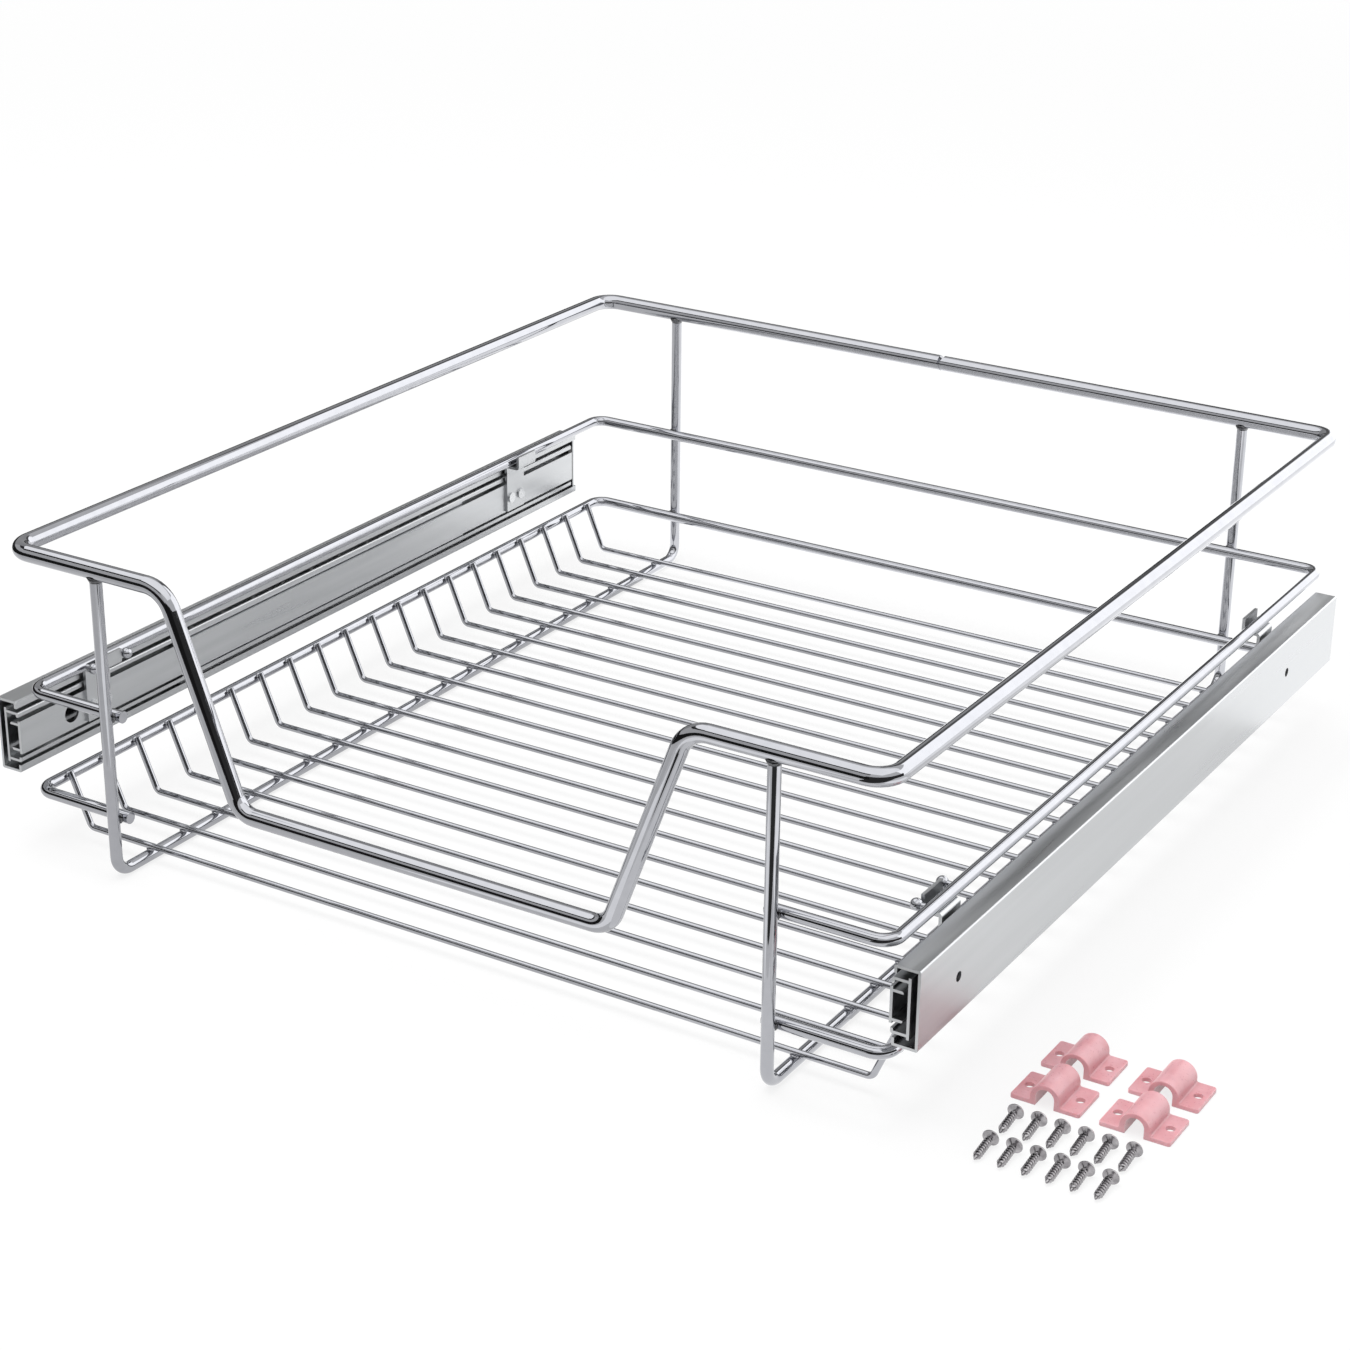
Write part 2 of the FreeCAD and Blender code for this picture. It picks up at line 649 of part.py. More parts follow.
lying = [lying_screw(x, y) for x, y in screw_places()]
save(Part.makeCompound(lying[:-SLIDE_SCREWS]), "clip_screws")
save(Part.makeCompound(lying[-SLIDE_SCREWS:]), "slide_screws")
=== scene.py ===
import logging
import math
from dataclasses import dataclass
from enum import Enum

import bmesh
import bpy
from mathutils import Matrix, Vector


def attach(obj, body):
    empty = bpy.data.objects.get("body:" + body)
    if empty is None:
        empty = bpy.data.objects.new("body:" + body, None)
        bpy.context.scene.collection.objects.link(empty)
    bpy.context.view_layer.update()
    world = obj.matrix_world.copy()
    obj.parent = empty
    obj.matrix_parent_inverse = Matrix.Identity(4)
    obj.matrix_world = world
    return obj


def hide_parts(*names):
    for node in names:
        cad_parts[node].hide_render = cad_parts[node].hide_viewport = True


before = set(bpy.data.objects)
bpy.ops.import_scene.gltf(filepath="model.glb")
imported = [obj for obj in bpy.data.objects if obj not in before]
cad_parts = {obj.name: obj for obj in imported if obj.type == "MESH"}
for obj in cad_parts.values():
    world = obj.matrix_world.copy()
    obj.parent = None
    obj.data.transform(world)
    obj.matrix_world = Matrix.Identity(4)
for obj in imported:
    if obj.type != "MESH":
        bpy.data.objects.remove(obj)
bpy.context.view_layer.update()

LOG = logging.getLogger("pull_out_drawer")

MM = 0.001
WHITE = (1.0, 1.0, 1.0, 1.0)
BLACK = (0.0, 0.0, 0.0, 1.0)
NOISE_LOW = 0.3
NOISE_HIGH = 0.7

Colour = tuple[float, float, float]
Triple = tuple[float, float, float]


class Body(Enum):
    """Rigid bodies of the drawer that new pieces ride on."""

    CABINET = "cabinet"
    BASKET = "basket"


class Slot(Enum):
    """Material slots of the record."""

    CHROME_WIRE = "chrome_wire"
    ZINC_SHEET = "zinc_sheet"
    CAGE_STEEL = "cage_steel"
    BALL_STEEL = "ball_steel"
    RIVET_STEEL = "rivet_steel"
    BUMPER_RUBBER = "bumper_rubber"
    CLIP_PLASTIC = "clip_plastic"
    SCREW_STEEL = "screw_steel"


class Side(Enum):
    """The two sides of the drawer, seen from the front."""

    LEFT = -1
    RIGHT = 1

    @property
    def word(self) -> str:
        """Its word in the names of nodes."""
        return self.name.lower()


# Finishes


@dataclass(frozen=True)
class Shade:
    """A node tree under construction for one material."""

    material: bpy.types.Material

    @classmethod
    def begin(cls, name: str) -> "Shade":
        """Start a material that holds a Principled shader and its output."""
        material = bpy.data.materials.new(name)
        material.use_nodes = True
        return cls(material)

    @property
    def surface(self) -> bpy.types.Node:
        """The Principled shader."""
        return self.material.node_tree.nodes["Principled BSDF"]

    def add(self, kind: str) -> bpy.types.Node:
        """Add a node of the given kind."""
        return self.material.node_tree.nodes.new(kind)

    def link(self, source: bpy.types.NodeSocket, target: bpy.types.NodeSocket) -> None:
        """Join two sockets."""
        self.material.node_tree.links.new(source, target)

    def grain(
        self, scale: float, stretch: Triple = (1.0, 1.0, 1.0), detail: float = 3.0
    ) -> bpy.types.NodeSocket:
        """Noise on Object coordinates.

        Args:
            scale: Noise scale, in cells for each metre.
            stretch: Factor on each axis; a low one draws the grain out along it.
            detail: Octaves of finer noise.

        Returns:
            The noise's value socket.
        """
        place = self.add("ShaderNodeTexCoord")
        turn = self.add("ShaderNodeMapping")
        turn.inputs["Scale"].default_value = stretch
        noise = self.add("ShaderNodeTexNoise")
        noise.inputs["Scale"].default_value = scale
        noise.inputs["Detail"].default_value = detail
        self.link(place.outputs["Object"], turn.inputs["Vector"])
        self.link(turn.outputs["Vector"], noise.inputs["Vector"])
        return noise.outputs["Fac"]

    def spread(self, source: bpy.types.NodeSocket, low: float, high: float) -> bpy.types.NodeSocket:
        """Map a noise's middle range onto low to high.

        Args:
            source: Noise value.
            low: Value at the noise's dark end.
            high: Value at its light end.

        Returns:
            The mapped value socket.
        """
        ramp = self.add("ShaderNodeMapRange")
        ramp.inputs["From Min"].default_value = NOISE_LOW
        ramp.inputs["From Max"].default_value = NOISE_HIGH
        ramp.inputs["To Min"].default_value = low
        ramp.inputs["To Max"].default_value = high
        self.link(source, ramp.inputs["Value"])
        return ramp.outputs["Result"]

    def blend(
        self, source: bpy.types.NodeSocket, dark: Colour, light: Colour
    ) -> bpy.types.NodeSocket:
        """Colour between two tones by a noise.

        Args:
            source: Noise value.
            dark: Colour at the noise's dark end.
            light: Colour at its light end.

        Returns:
            The colour socket.
        """
        ramp = self.add("ShaderNodeValToRGB")
        first, last = ramp.color_ramp.elements
        first.position, first.color = NOISE_LOW, (*dark, 1.0)
        last.position, last.color = NOISE_HIGH, (*light, 1.0)
        self.link(source, ramp.inputs["Fac"])
        return ramp.outputs["Color"]

    def relief(self, source: bpy.types.NodeSocket, depth_mm: float) -> None:
        """Fine bumps from a noise.

        Args:
            source: Noise value.
            depth_mm: Height from its dark to its light end.
        """
        bump = self.add("ShaderNodeBump")
        bump.inputs["Distance"].default_value = depth_mm * MM
        self.link(source, bump.inputs["Height"])
        self.link(bump.outputs["Normal"], self.surface.inputs["Normal"])


@dataclass(frozen=True)
class MetalFinish:
    """A plated or bare metal.

    dark and light are the two tones of its reflection, smooth and dull the two ends of its
    roughness.
    """

    name: str
    dark: Colour
    light: Colour
    smooth: float
    dull: float
    grain_scale: float
    stretch: Triple = (1.0, 1.0, 1.0)
    relief_mm: float = 0.0
    anisotropic: float = 0.0

    def make(self) -> bpy.types.Material:
        """Build the material."""
        shade = Shade.begin(self.name)
        surface = shade.surface
        surface.inputs["Metallic"].default_value = 1.0
        surface.inputs["Anisotropic"].default_value = self.anisotropic
        grain = shade.grain(self.grain_scale, self.stretch)
        shade.link(shade.blend(grain, self.dark, self.light), surface.inputs["Base Color"])
        shade.link(shade.spread(grain, self.smooth, self.dull), surface.inputs["Roughness"])
        if self.relief_mm > 0.0:
            shade.relief(grain, self.relief_mm)
        return shade.material


@dataclass(frozen=True)
class PlasticFinish:
    """A moulded plastic or rubber.

    dark and light are its two tones, smooth and dull the two ends of its roughness. glow is the
    share of the light that enters it, and glow_reach how far each colour goes, as shares of
    glow_depth_mm.
    """

    name: str
    dark: Colour
    light: Colour
    smooth: float
    dull: float
    cloud_scale: float
    glow: float = 0.0
    glow_depth_mm: float = 2.0
    relief_mm: float = 0.02
    fine_factor: float = 9.0
    glow_reach: Triple = (1.0, 0.45, 0.4)

    def make(self) -> bpy.types.Material:
        """Build the material."""
        shade = Shade.begin(self.name)
        surface = shade.surface
        cloud = shade.grain(self.cloud_scale)
        shade.link(shade.blend(cloud, self.dark, self.light), surface.inputs["Base Color"])
        fine = shade.grain(self.cloud_scale * self.fine_factor)
        shade.link(shade.spread(fine, self.smooth, self.dull), surface.inputs["Roughness"])
        shade.relief(fine, self.relief_mm)
        surface.inputs["Subsurface Weight"].default_value = self.glow
        surface.inputs["Subsurface Radius"].default_value = self.glow_reach
        surface.inputs["Subsurface Scale"].default_value = self.glow_depth_mm * MM
        return shade.material


@dataclass(frozen=True)
class Finishes:
    """Every finish of the drawer: one for each slot, and the plated weld's own, whose dark tone is
    painted shade.
    """

    table: dict[Slot, bpy.types.Material]
    weld: bpy.types.Material

    @classmethod
    def mix(cls) -> "Finishes":
        """Make the materials."""
        recipes = {
            Slot.CHROME_WIRE: MetalFinish(
                "bright_chrome", (0.352, 0.357, 0.38), (0.377, 0.382, 0.405), 0.03, 0.07, 180.0,
                relief_mm=0.004,
            ),
            Slot.ZINC_SHEET: MetalFinish(
                "light_zinc", (0.42, 0.43, 0.44), (0.49, 0.5, 0.51), 0.26, 0.4, 160.0,
                stretch=(1.0, 0.05, 1.0), relief_mm=0.006, anisotropic=0.3,
            ),
            Slot.CAGE_STEEL: MetalFinish(
                "cage_strip", (0.42, 0.43, 0.45), (0.52, 0.53, 0.55), 0.3, 0.45, 220.0,
                stretch=(1.0, 0.1, 1.0), relief_mm=0.004,
            ),
            Slot.BALL_STEEL: MetalFinish(
                "greased_ball", (0.46, 0.45, 0.43), (0.56, 0.56, 0.56), 0.08, 0.2, 400.0
            ),
            Slot.RIVET_STEEL: MetalFinish(
                "plated_rivet", (0.48, 0.49, 0.5), (0.58, 0.59, 0.6), 0.2, 0.32, 500.0,
                relief_mm=0.01,
            ),
            Slot.SCREW_STEEL: MetalFinish(
                "screw_zinc", (0.2, 0.192, 0.2), (0.38, 0.367, 0.378), 0.09, 0.22, 350.0,
                relief_mm=0.01,
            ),
            Slot.BUMPER_RUBBER: PlasticFinish(
                "bumper_rubber", (0.018, 0.018, 0.018), (0.03, 0.03, 0.03), 0.55, 0.75, 120.0
            ),
            Slot.CLIP_PLASTIC: PlasticFinish(
                "rose_plastic", (0.64, 0.29, 0.32), (0.72, 0.39, 0.425), 0.26, 0.36, 110.0,
                glow=0.35, glow_depth_mm=2.5, relief_mm=0.008,
            ),
        }
        # The weld's tones are far darker than the chrome's. This is painted shade for the dark
        # notch where the uprights meet the rim.
        weld = MetalFinish(
            "weld_painted_shade", (0.05, 0.05, 0.053), (0.16, 0.162, 0.17), 0.12, 0.34, 420.0,
            relief_mm=0.05,
        )
        return cls({slot: recipe.make() for slot, recipe in recipes.items()}, weld.make())

    def dress(self, piece: bpy.types.Object, slot: Slot) -> None:
        """Put a slot's finish over the whole piece."""
        self.cover(piece, self.table[slot])

    @staticmethod
    def cover(piece: bpy.types.Object, material: bpy.types.Material) -> None:
        """Put one material over the whole piece."""
        piece.data.materials.clear()
        piece.data.materials.append(material)


# Helpers for new pieces


def piece_from(
    bm: bmesh.types.BMesh, name: str, body: Body, slot: Slot, finishes: Finishes
) -> bpy.types.Object:
    """Turn a finished bmesh into a piece that rides on a body.

    Args:
        bm: Mesh in the row frame, freed here.
        name: Piece name.
        body: Body that carries it.
        slot: Material slot that it takes its finish from.
        finishes: All finishes.

    Returns:
        The new object.
    """
    mesh = bpy.data.meshes.new(name)
    for face in bm.faces:
        face.smooth = True
    bm.to_mesh(mesh)
    bm.free()
    piece = bpy.data.objects.new(name, mesh)
    bpy.context.scene.collection.objects.link(piece)
    finishes.dress(piece, slot)
    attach(piece, body.value)
    LOG.info("%s: %d faces, on %s", name, len(mesh.polygons), body.value)
    return piece


@dataclass
class WireBasket:
    """The welded basket: rim, two loops, two U-frames, floor wires and pegs.

    The lengths are in millimetres. A bead's three numbers are its half sizes along X, Y and Z: a
    cross bead lies under a floor wire on a bottom run, an end bead where a floor wire ends on the
    low loop, a loop bead where a loop crosses an upright, and the butt bead where the rim's ends
    meet. A collar is the weld at the top of an upright.
    """

    rim_dia: float = 8.0
    loop_dia: float = 5.5
    frame_dia: float = 5.5
    half_width: float = 220.0
    half_depth: float = 240.0
    height: float = 152.0
    mid_loop_z: float = 78.3
    low_loop_z: float = 29.2
    frame_x: float = 168.0
    floor_count: int = 20
    floor_pitch: float = 22.5
    floor_rise: float = math.radians(67.0)
    butt_x: float = -3.1
    butt_depth: float = 4.2
    bead_sides: int = 12
    bead_rings: int = 8
    cross_bead: Triple = (2.1, 1.9, 0.75)
    end_bead: Triple = (0.7, 1.7, 2.2)
    loop_bead: Triple = (3.0, 1.15, 2.9)
    butt_bead: Triple = (0.9, 3.6, 0.7)
    collar_flare: float = 1.2
    collar_height: float = 2.6
    collar_lift: float = 0.1
    collar_sides: int = 24

    def wire_nodes(self) -> list[str]:
        """Names of the basket's chromed nodes."""
        floor = [f"floor_wire_{i + 1:02d}" for i in range(self.floor_count)]
        frames = [f"{side.word}_u_frame" for side in Side]
        pegs = [f"{side.word}_{place}_peg" for side in Side for place in ("front", "rear")]
        return ["rim_wire", "mid_loop", "low_loop", *frames, *floor, *pegs]

    def floor_rows(self) -> list[float]:
        """Places of the floor wires along Y."""
        middle = (self.floor_count - 1) / 2
        return [(i - middle) * self.floor_pitch for i in range(self.floor_count)]

    def bead(self, bm: bmesh.types.BMesh, at: Vector, radii: Triple, tilt: float = 0.0) -> None:
        """Add one rounded weld bead.

        Args:
            bm: Mesh that it goes into.
            at: Its middle, in millimetres.
            radii: Half sizes along X, Y and Z before the tilt, in millimetres.
            tilt: Turn about Y, in radians.
        """
        size = Matrix.Diagonal((*(Vector(radii) * MM), 1.0))
        place = Matrix.Translation(at * MM) @ Matrix.Rotation(tilt, 4, "Y") @ size
        bmesh.ops.create_uvsphere(
            bm, u_segments=self.bead_sides, v_segments=self.bead_rings, radius=1.0, matrix=place
        )

    def floor_beads(self) -> bmesh.types.BMesh:
        """Beads where the floor wires cross the bottom runs and end on the low loop."""
        bm = bmesh.new()
        loop_radius = self.loop_dia / 2
        end_x = self.half_width - loop_radius - loop_radius * math.sin(self.floor_rise)
        end_z = self.low_loop_z + loop_radius * math.cos(self.floor_rise)
        for side in Side:
            lean = side.value * (math.pi / 2 - self.floor_rise)
            for y in self.floor_rows():
                cross = Vector((side.value * self.frame_x, y, self.frame_dia))
                self.bead(bm, cross, self.cross_bead)
                self.bead(bm, Vector((side.value * end_x, y, end_z)), self.end_bead, lean)
        return bm

    def frame_beads(self) -> bmesh.types.BMesh:
        """Beads at the uprights and in the rim's joint, and collars under the rim."""
        bm = bmesh.new()
        upright_y = self.half_depth - self.rim_dia / 2
        touch_y = upright_y - self.frame_dia / 2
        collar_z = self.height - self.rim_dia + self.collar_lift
        for side in Side:
            x = side.value * self.frame_x
            for end in (-1, 1):
                for z in (self.mid_loop_z, self.low_loop_z):
                    self.bead(bm, Vector((x, end * touch_y, z)), self.loop_bead)
                bmesh.ops.create_cone(
                    bm,
                    cap_ends=True,
                    segments=self.collar_sides,
                    radius1=self.frame_dia / 2 * MM,
                    radius2=(self.frame_dia / 2 + self.collar_flare) * MM,
                    depth=self.collar_height * MM,
                    matrix=Matrix.Translation(Vector((x, end * upright_y, collar_z)) * MM),
                )
        butt = Vector((self.butt_x, upright_y, self.height - self.butt_depth))
        self.bead(bm, butt, self.butt_bead)
        return bm

    def build(self, finishes: Finishes) -> None:
        """Dress the wires and add the weld beads.

        Args:
            finishes: All finishes.
        """
        for name in self.wire_nodes():
            finishes.dress(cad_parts[name], Slot.CHROME_WIRE)
        piece_from(self.floor_beads(), "floor_weld_beads", Body.BASKET, Slot.CHROME_WIRE, finishes)
        beads = self.frame_beads()
        welds = piece_from(beads, "frame_weld_beads", Body.BASKET, Slot.CHROME_WIRE, finishes)
        # The frame beads and collars take the darkened weld finish, which is painted shade.
        finishes.cover(welds, finishes.weld)


@dataclass
class SlidePair:
    """The two ball-bearing slides with their hooks."""

    sheet_nodes: tuple[str, ...] = (
        "cabinet_member", "intermediate_member", "drawer_member", "front_hook", "rear_hook",
    )
    cage_nodes: tuple[str, ...] = ("outer_ball_cage", "inner_ball_cage")
    ball_nodes: tuple[str, ...] = ("outer_balls", "inner_balls")

    def build(self, finishes: Finishes) -> None:
        """Dress both slides.

        Args:
            finishes: All finishes.
        """
        groups = {
            Slot.ZINC_SHEET: self.sheet_nodes,
            Slot.CAGE_STEEL: self.cage_nodes,
            Slot.BALL_STEEL: self.ball_nodes,
            Slot.RIVET_STEEL: ("hook_rivets",),
            Slot.BUMPER_RUBBER: ("bumper",),
        }
        for side in Side:
            for slot, names in groups.items():
                for name in names:
                    finishes.dress(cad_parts[f"{side.word}_{name}"], slot)
            LOG.info("%s slide dressed", side.word)


@dataclass
class SaddleClips:
    """The four clips that clamp the rim to a front panel, loose beside the drawer."""

    names: tuple[str, ...] = ("saddle_clip_1", "saddle_clip_2", "saddle_clip_3", "saddle_clip_4")

    def build(self, finishes: Finishes) -> None:
        """Dress the clips.

        Args:
            finishes: All finishes.
        """
        for name in self.names:
            finishes.dress(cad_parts[name], Slot.CLIP_PLASTIC)
        LOG.info("%d clips dressed", len(self.names))


@dataclass
class WoodScrews:
    """Twelve pan-head wood screws lying in two rows, with cut threads and cross recesses.

    A screw is made with its head's top at the origin and its tip down -Z, in millimetres. dome,
    widest and edge shape the head, as shares of its radius and height. point shapes the tip, as
    shares of the core's radius and of the way back from the end. The thread starts thin over
    run_in, leaves the share bare_tip of the tip free and narrows to end_share of its radius.
    """

    length: float = 16.0
    head_dia: float = 7.1
    head: float = 2.2
    dia: float = 3.7
    core_dia: float = 2.5
    pitch: float = 1.4
    neck: float = 0.6
    tip: float = 2.9
    dome: tuple[tuple[float, float], ...] = ((0.64, 0.08), (0.78, 0.19), (0.9, 0.37), (0.97, 0.56))
    widest: float = 0.7
    edge: tuple[float, float] = (0.98, 0.8)
    fillet_width: float = 0.5
    fillet_height: float = 0.3
    point: tuple[tuple[float, float], ...] = ((0.72, 0.55), (0.3, 0.14))
    land: float = 0.14
    root: float = 0.95
    root_sink: float = 0.12
    run_in: float = 0.2
    bare_tip: float = 0.2
    end_share: float = 0.12
    recess_length: float = 4.0
    recess_width: float = 0.9
    recess_depth: float = 1.4
    recess_taper: float = 0.5
    sides: int = 24
    turn_steps: int = 18
    middle_x: float = 285.0
    first_y: float = -200.0
    step_x: float = 10.0
    step_y: float = 22.0
    in_row: int = 6
    rows: int = 2
    for_slides: int = 4
    roll_step: float = math.radians(37.0)
    crisp_angle: float = math.radians(38.0)

    def profile(self) -> list[tuple[float, float]]:
        """Radius and depth along the head, the shank and the tip, from the recess outwards."""
        rim = self.head_dia / 2
        core = self.core_dia / 2
        shares = (*self.dome, (1.0, self.widest), self.edge)
        head = [(rim * across, self.head * down) for across, down in shares]
        shank = [
            (core + self.fillet_width, self.head),
            (core, self.head + self.fillet_height),
            (core, self.length - self.tip),
        ]
        cone = [(core * across, self.length - self.tip * back) for across, back in self.point]
        return head + shank + cone

    def add_recess(self, bm: bmesh.types.BMesh, rim: list[bmesh.types.BMEdge]) -> None:
        """Fill the head's open top with a flat ring and a tapered cross recess.

        Args:
            bm: The screw's mesh.
            rim: Edges round the open top.
        """
        far = self.recess_length / 2
        near = self.recess_width / 2
        arm = ((near, near), (near, far), (-near, far))
        corners = []
        for quarter in range(4):
            turn = Matrix.Rotation(quarter * math.pi / 2, 3, "Z")
            corners += [turn @ Vector((x, y, 0.0)) for x, y in arm]
        outline = []
        for here, after in zip(corners, corners[1:] + corners[:1]):
            outline += [bm.verts.new(here), bm.verts.new((here + after) / 2)]
        loop = [bm.edges.new((a, b)) for a, b in zip(outline, outline[1:] + outline[:1])]
        bmesh.ops.bridge_loops(bm, edges=[*loop, *rim])
        walls = bmesh.ops.extrude_edge_only(bm, edges=loop)["geom"]
        low = [v for v in walls if isinstance(v, bmesh.types.BMVert)]
        bmesh.ops.scale(bm, vec=(self.recess_taper, self.recess_taper, 1.0), verts=low)
        bmesh.ops.translate(bm, vec=(0.0, 0.0, -self.recess_depth), verts=low)
        floor = [e for e in walls if isinstance(e, bmesh.types.BMEdge)]
        bmesh.ops.contextual_create(bm, geom=floor)

    def add_body(self, bm: bmesh.types.BMesh) -> None:
        """Turn the head, shank and tip, and cut the recess.

        Args:
            bm: Empty mesh that they go into.
        """
        points = self.profile()
        start = bmesh.ops.create_circle(bm, segments=self.sides, radius=points[0][0])["verts"]
        bmesh.ops.translate(bm, vec=(0.0, 0.0, -points[0][1]), verts=start)
        rim = list(bm.edges)
        ring = rim
        for (before, above), (radius, depth) in zip(points, points[1:]):
            grown = bmesh.ops.extrude_edge_only(bm, edges=ring)["geom"]
            verts = [v for v in grown if isinstance(v, bmesh.types.BMVert)]
            bmesh.ops.scale(bm, vec=(radius / before, radius / before, 1.0), verts=verts)
            bmesh.ops.translate(bm, vec=(0.0, 0.0, above - depth), verts=verts)
            ring = [e for e in grown if isinstance(e, bmesh.types.BMEdge)]
        point = bmesh.ops.extrude_edge_only(bm, edges=ring)["geom"]
        end = [v for v in point if isinstance(v, bmesh.types.BMVert)]
        bmesh.ops.pointmerge(bm, verts=end, merge_co=(0.0, 0.0, -self.length))
        self.add_recess(bm, rim)

    def add_thread(self, bm: bmesh.types.BMesh) -> None:
        """Wind the thread's ridge from under the head to near the point.

        Args:
            bm: Mesh that it goes into.
        """
        first = -(self.head + self.neck)
        crest = self.dia / 2
        foot = self.core_dia / 2 - self.root_sink
        section = (
            (foot, self.root / 2),
            (crest, self.land / 2),
            (crest, -self.land / 2),
            (foot, -self.root / 2),
        )
        old = set(bm.verts)
        verts = [bm.verts.new((r, 0.0, first + z)) for r, z in section]
        face = bm.faces.new(verts)
        run = self.length - self.tip * self.bare_tip + first
        steps = round(run / self.pitch * self.turn_steps)
        bmesh.ops.spin(
            bm,
            geom=[face],
            cent=(0.0, 0.0, 0.0),
            axis=(0.0, 0.0, 1.0),
            angle=-steps / self.turn_steps * math.tau,
            dvec=(0.0, 0.0, -self.pitch / self.turn_steps),
            steps=steps,
            use_merge=False,
        )
        for vert in set(bm.verts) - old:
            depth = -vert.co.z
            rise = min(1.0, max(0.0, (depth - (self.head + self.run_in)) / self.pitch))
            fall = min(1.0, max(0.0, (self.length - depth) / self.tip))
            reach = math.hypot(vert.co.x, vert.co.y)
            narrow = self.end_share + (1.0 - self.end_share) * fall
            share = (foot + (reach - foot) * rise) * narrow / reach
            vert.co.x *= share
            vert.co.y *= share

    def lay(self, bm: bmesh.types.BMesh, place: int) -> None:
        """Make one screw and lay it down so that it rests on its head and its thread.

        Args:
            bm: Mesh that it goes into.
            place: Its place, counted along the rows.
        """
        one = bmesh.new()
        self.add_body(one)
        self.add_thread(one)
        bmesh.ops.recalc_face_normals(one, faces=one.faces)
        head_r = self.head_dia / 2
        rest = self.head * self.widest
        tilt = math.atan2(head_r - self.dia / 2, self.length - self.tip - rest)
        axis_z = rest * math.sin(tilt) + head_r * math.cos(tilt)
        row, column = divmod(place, self.in_row)
        x = self.middle_x + (column - (self.in_row - 1) / 2) * self.step_x
        spot = Matrix.Translation(Vector((x, self.first_y - row * self.step_y, axis_z)))
        lean = Matrix.Rotation(tilt - math.pi / 2, 4, "X")
        roll = Matrix.Rotation(place * self.roll_step, 4, "Z")
        one.transform(Matrix.Scale(MM, 4) @ (spot @ lean @ roll))
        mesh = bpy.data.meshes.new("screw")
        one.to_mesh(mesh)
        one.free()
        bm.from_mesh(mesh)
        bpy.data.meshes.remove(mesh)

    def build(self, finishes: Finishes) -> None:
        """Lay both groups of screws in place of their plainer nodes.

        Args:
            finishes: All finishes.
        """
        count = self.in_row * self.rows
        groups = {
            "clip_screws": range(count - self.for_slides),
            "slide_screws": range(count - self.for_slides, count),
        }
        for node, places in groups.items():
            bm = bmesh.new()
            for place in places:
                self.lay(bm, place)
            piece = piece_from(bm, f"threaded_{node}", Body.CABINET, Slot.SCREW_STEEL, finishes)
            split = piece.modifiers.new("crisp_edges", "EDGE_SPLIT")
            split.split_angle = self.crisp_angle
            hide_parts(node)


# Studio


SCREEN_STEP = 5.0
SCREEN_STEPS_MIN = 4
HIDDEN_FROM = ("camera", "diffuse", "transmission", "volume_scatter", "shadow")


@dataclass(frozen=True)
class Screen:
    """An upright curved screen round the drawer, which only mirrors see.

    start and end are turns from straight ahead of the drawer's front, positive to the right, in
    degrees. The lengths are in metres.
    """

    name: str
    start: float
    end: float
    radius: float
    low: float
    high: float
    glow: float

    def hang(self) -> None:
        """Put up the screen."""
        steps = max(SCREEN_STEPS_MIN, round((self.end - self.start) / SCREEN_STEP))
        bm = bmesh.new()
        turn = math.radians(self.start)
        foot = Vector((self.radius * math.sin(turn), -self.radius * math.cos(turn), self.low))
        rise = Vector((0.0, 0.0, self.high - self.low))
        edge = bm.edges.new((bm.verts.new(foot), bm.verts.new(foot + rise)))
        bmesh.ops.spin(
            bm,
            geom=[edge, *edge.verts],
            cent=(0.0, 0.0, 0.0),
            axis=(0.0, 0.0, 1.0),
            angle=math.radians(self.end - self.start),
            steps=steps,
            use_merge=False,
        )
        hang_card(bm, self.name, self.glow)


@dataclass(frozen=True)
class Sheet:
    """A level sheet, overhead or on the floor, which only mirrors see, in metres."""

    name: str
    west: float
    east: float
    front: float
    rear: float
    height: float
    glow: float

    def hang(self) -> None:
        """Put up the sheet."""
        bm = bmesh.new()
        middle = Vector(((self.west + self.east) / 2, (self.front + self.rear) / 2, self.height))
        half = ((self.east - self.west) / 2, (self.rear - self.front) / 2)
        place = Matrix.Translation(middle) @ Matrix.Diagonal((*half, 1.0, 1.0))
        bmesh.ops.create_grid(bm, x_segments=1, y_segments=1, size=1.0, matrix=place)
        hang_card(bm, self.name, self.glow)


def hang_card(bm: bmesh.types.BMesh, name: str, glow: float) -> None:
    """Turn a mesh into a card of the set, hidden from all but mirrors.

    It moves with the basket, so the chrome mirrors the same set wherever the drawer stands.

    Args:
        bm: Its mesh, freed here.
        name: Card name.
        glow: How bright a mirror sees it: 0 is black cloth, 1 is plain white and more is lit.
    """
    mesh = bpy.data.meshes.new(name)
    bm.to_mesh(mesh)
    bm.free()
    card = bpy.data.objects.new(name, mesh)
    bpy.context.scene.collection.objects.link(card)
    shade = Shade.begin(name)
    surface = shade.surface
    surface.inputs["Roughness"].default_value = 1.0
    surface.inputs["Specular IOR Level"].default_value = 0.0
    surface.inputs["Base Color"].default_value = BLACK
    surface.inputs["Emission Color"].default_value = WHITE
    surface.inputs["Emission Strength"].default_value = glow
    mesh.materials.append(shade.material)
    for ray in HIDDEN_FROM:
        setattr(card, f"visible_{ray}", False)
    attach(card, Body.BASKET.value)


@dataclass(frozen=True)
class Lamp:
    """A soft square lamp that mirrors don't see, in metres and watts."""

    name: str
    place: Triple
    aim: Triple
    size: float
    power: float

    def hang(self) -> None:
        """Hang the lamp, aimed at its point."""
        data = bpy.data.lights.new(self.name, "AREA")
        data.shape = "SQUARE"
        data.size = self.size
        data.energy = self.power
        lamp = bpy.data.objects.new(self.name, data)
        lamp.location = self.place
        lamp.visible_glossy = False
        lamp.rotation_mode = "QUATERNION"
        lamp.rotation_quaternion = (Vector(self.aim) - Vector(self.place)).to_track_quat("-Z", "Y")
        bpy.context.scene.collection.objects.link(lamp)


